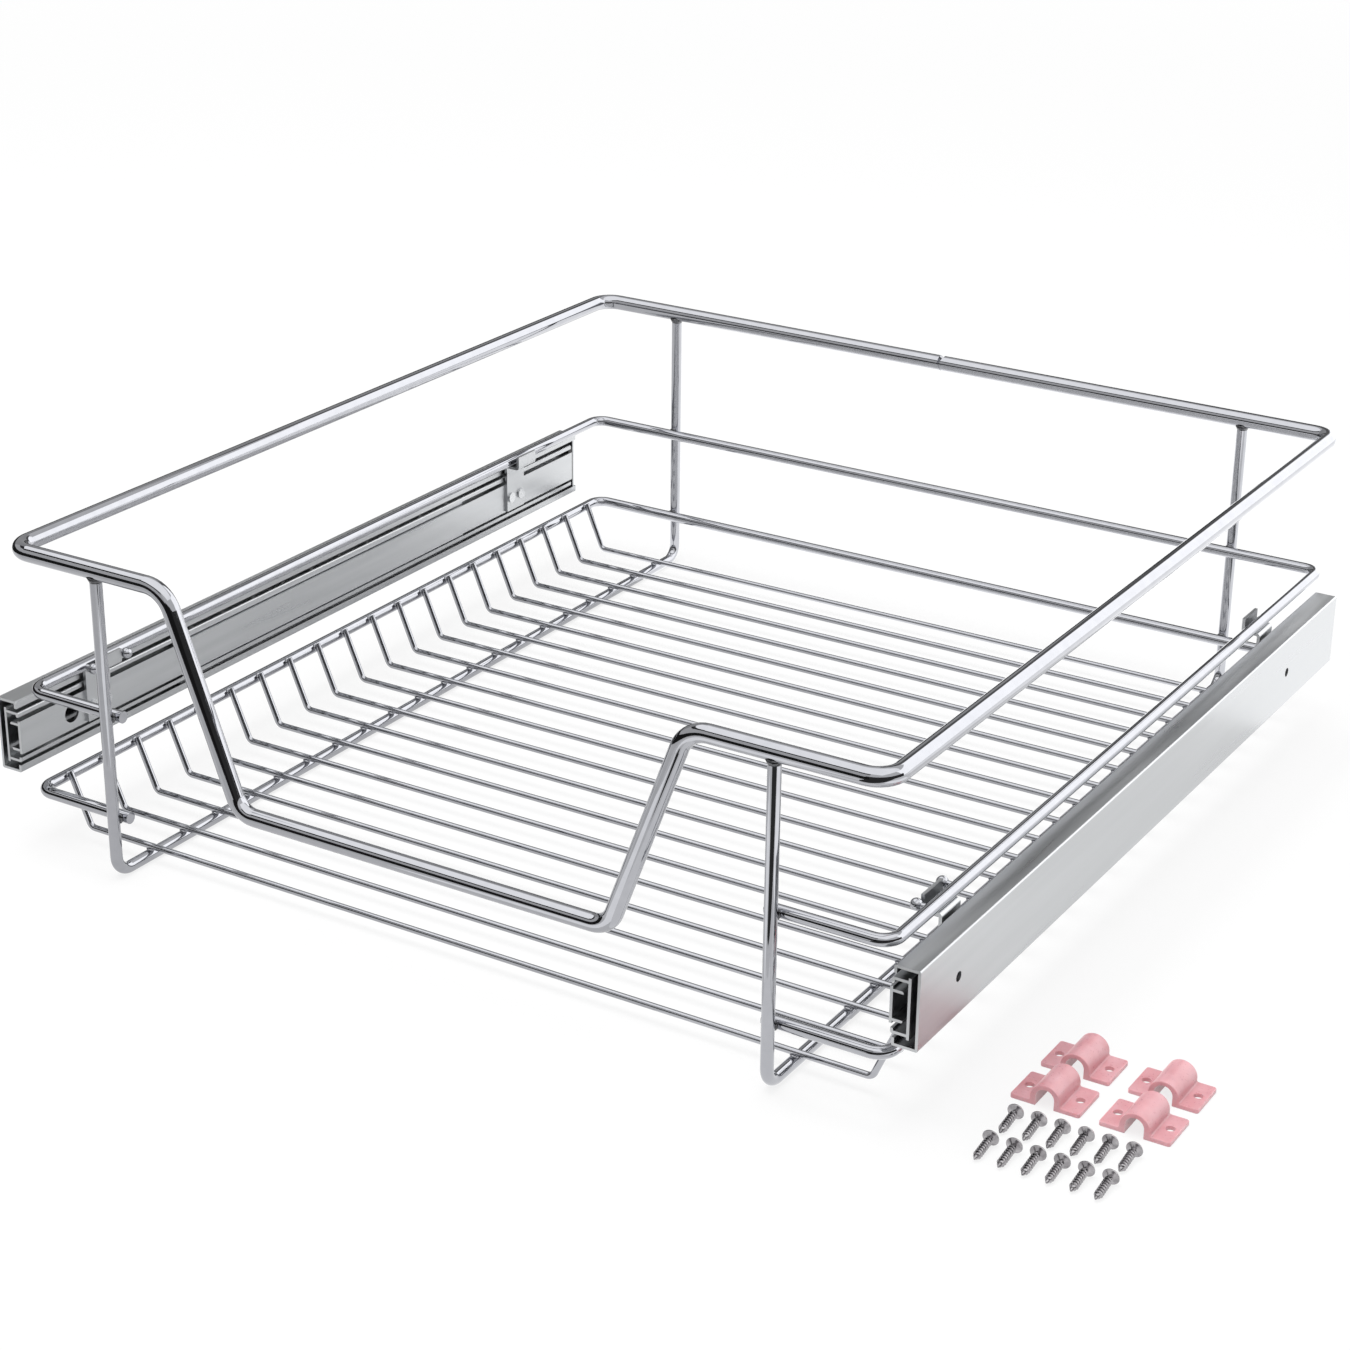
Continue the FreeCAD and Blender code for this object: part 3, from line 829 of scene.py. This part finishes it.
@dataclass
class Studio:
    """White floor and background, a soft lamp, screens and sheets for the chrome, and the camera.

    Places are in metres, the camera's turns in radians and its lens and sensor in millimetres. The
    floor's glow rises to white between the two distances of floor_fade.
    """

    world_light: float = 0.7
    world_white: float = 1.0
    floor_half: float = 12.0
    floor_tone: Colour = (0.9, 0.9, 0.9)
    floor_roughness: float = 0.9
    floor_fade: tuple[float, float] = (0.9, 2.4)
    floor_glow: float = 0.8
    screens: tuple[Screen, ...] = (
        Screen("front_left_line", -75.0, 20.0, 0.76, 0.02, 0.25, 0.02),
        Screen("camera_side_flag", 5.0, 100.0, 1.2, 0.0, 0.44, 0.055),
        Screen("left_flag", -165.0, -75.0, 1.2, 0.0, 0.36, 0.045),
        Screen("front_left_wall", -95.0, 10.0, 2.4, 0.25, 1.66, 0.78),
        Screen("front_left_edge", -95.0, 10.0, 2.35, 1.66, 2.24, 0.05),
        Screen("rear_left_wall", -156.0, -95.0, 2.5, 0.05, 2.3, 0.5),
        Screen("rear_left_edge", -172.0, -156.0, 2.45, 0.0, 2.6, 0.18),
        Screen("rear_card", 100.0, 186.0, 2.6, 0.03, 2.6, 2.4),
    )
    sheets: tuple[Sheet, ...] = (
        Sheet("overhead_card", -2.6, 2.2, -2.2, 1.1, 2.3, 1.9),
        Sheet("rear_floor_card", -0.24, 1.6, 0.2, 2.5, 0.0004, 1.7),
        Sheet("right_floor_card", 0.25, 1.6, -0.3, 0.2, 0.0004, 1.2),
        Sheet("right_upright_card", 0.33, 0.5, -0.33, -0.05, 0.0006, 1.8),
        Sheet("dip_floor_card", -0.06, 0.1, -0.45, -0.29, 0.0008, 1.6),
        Sheet("right_leg_card", 0.1, 0.24, -0.33, -0.17, 0.0008, 1.25),
        Sheet("front_left_floor_card", -0.72, -0.06, -0.68, -0.36, 0.0006, 0.9),
        Sheet("front_right_cloth", 0.13, 1.4, -1.2, -0.36, 0.0004, 0.055),
        Sheet("front_left_cloth", -1.2, 0.13, -1.2, -0.68, 0.0004, 0.045),
        Sheet("left_cloth", -1.2, -0.72, -0.68, 0.4, 0.0004, 0.045),
    )
    lamps: tuple[Lamp, ...] = (
        Lamp("overhead_softbox", (-0.3, -0.2, 2.2), (0.0, 0.0, 0.05), 1.8, 38.0),
    )
    camera_place: Triple = (0.64538, -1.08293, 0.60003)
    azimuth: float = 0.5256
    elevation: float = 0.4070
    roll: float = 0.0208
    lens: float = 76.475
    sensor: float = 36.0
    shift: tuple[float, float] = (-0.05152, -0.00404)
    clip: tuple[float, float] = (0.05, 60.0)

    def seen_white(self, tree: bpy.types.NodeTree) -> bpy.types.NodeSocket:
        """One for a ray from the camera, a mirror or a glass, else zero.

        Args:
            tree: Node tree that it goes into.

        Returns:
            The value socket.
        """
        path = tree.nodes.new("ShaderNodeLightPath")
        total = path.outputs["Is Camera Ray"]
        for kind in ("Is Glossy Ray", "Is Transmission Ray"):
            either = tree.nodes.new("ShaderNodeMath")
            either.operation = "MAXIMUM"
            tree.links.new(total, either.inputs[0])
            tree.links.new(path.outputs[kind], either.inputs[1])
            total = either.outputs["Value"]
        return total

    def light_world(self) -> None:
        """White to the eye and to the chrome, plain and dimmer as a light."""
        world = bpy.data.worlds.new("studio_white")
        bpy.context.scene.world = world
        world.use_nodes = True
        tree = world.node_tree
        level = tree.nodes.new("ShaderNodeMapRange")
        level.inputs["To Min"].default_value = self.world_light
        level.inputs["To Max"].default_value = self.world_white
        tree.links.new(self.seen_white(tree), level.inputs["Value"])
        tree.links.new(level.outputs["Result"], tree.nodes["Background"].inputs["Strength"])
        tree.nodes["Background"].inputs["Color"].default_value = WHITE

    def floor_finish(self) -> bpy.types.Material:
        """Pale floor that keeps a soft shadow and turns pure white far out."""
        material = bpy.data.materials.new("pale_floor")
        material.use_nodes = True
        tree = material.node_tree
        matt = tree.nodes["Principled BSDF"]
        matt.inputs["Base Color"].default_value = (*self.floor_tone, 1.0)
        matt.inputs["Roughness"].default_value = self.floor_roughness
        matt.inputs["Specular IOR Level"].default_value = 0.0
        glow = tree.nodes.new("ShaderNodeEmission")
        glow.inputs["Color"].default_value = WHITE
        place = tree.nodes.new("ShaderNodeTexCoord")
        reach = tree.nodes.new("ShaderNodeVectorMath")
        reach.operation = "LENGTH"
        fade = tree.nodes.new("ShaderNodeMapRange")
        near, far = self.floor_fade
        fade.inputs["From Min"].default_value = near
        fade.inputs["From Max"].default_value = far
        fade.inputs["To Min"].default_value = self.floor_glow
        fade.inputs["To Max"].default_value = 1.0
        white = tree.nodes.new("ShaderNodeMath")
        white.operation = "MULTIPLY"
        mix = tree.nodes.new("ShaderNodeMixShader")
        tree.links.new(place.outputs["Object"], reach.inputs[0])
        tree.links.new(reach.outputs["Value"], fade.inputs["Value"])
        tree.links.new(self.seen_white(tree), white.inputs[0])
        tree.links.new(fade.outputs["Result"], white.inputs[1])
        tree.links.new(white.outputs["Value"], mix.inputs["Fac"])
        tree.links.new(matt.outputs["BSDF"], mix.inputs[1])
        tree.links.new(glow.outputs["Emission"], mix.inputs[2])
        tree.links.new(mix.outputs["Shader"], tree.nodes["Material Output"].inputs["Surface"])
        return material

    def lay_floor(self) -> None:
        """Lay the floor under the drawer."""
        bm = bmesh.new()
        bmesh.ops.create_grid(bm, x_segments=1, y_segments=1, size=self.floor_half)
        mesh = bpy.data.meshes.new("studio_floor")
        bm.to_mesh(mesh)
        bm.free()
        floor = bpy.data.objects.new("studio_floor", mesh)
        bpy.context.scene.collection.objects.link(floor)
        mesh.materials.append(self.floor_finish())

    def set_camera(self) -> None:
        """Camera at the photograph's viewing angle."""
        data = bpy.data.cameras.new("camera")
        data.sensor_width = self.sensor
        data.lens = self.lens
        data.shift_x, data.shift_y = self.shift
        data.clip_start, data.clip_end = self.clip
        east, north = math.sin(self.azimuth), math.cos(self.azimuth)
        flat = math.cos(self.elevation)
        back = Vector((east * flat, -north * flat, math.sin(self.elevation)))
        right = Vector((north, east, 0.0))
        up = back.cross(right)
        c, s = math.cos(self.roll), math.sin(self.roll)
        right, up = c * right + s * up, c * up - s * right
        axes = Matrix((right, up, back)).transposed().to_4x4()
        camera = bpy.data.objects.new("camera", data)
        camera.matrix_world = Matrix.Translation(self.camera_place) @ axes
        bpy.context.scene.collection.objects.link(camera)
        bpy.context.scene.camera = camera

    def build(self) -> None:
        """Set up everything round the drawer."""
        bpy.context.scene.view_settings.view_transform = "Standard"
        self.light_world()
        self.lay_floor()
        for hung in (*self.screens, *self.sheets, *self.lamps):
            hung.hang()
        self.set_camera()
        LOG.info("studio ready")


def main() -> None:
    """Build the drawer and its studio."""
    logging.basicConfig(level=logging.INFO, format="%(name)s: %(message)s")
    finishes = Finishes.mix()
    WireBasket().build(finishes)
    SlidePair().build(finishes)
    SaddleClips().build(finishes)
    WoodScrews().build(finishes)
    Studio().build()


if __name__ == "__main__":
    main()
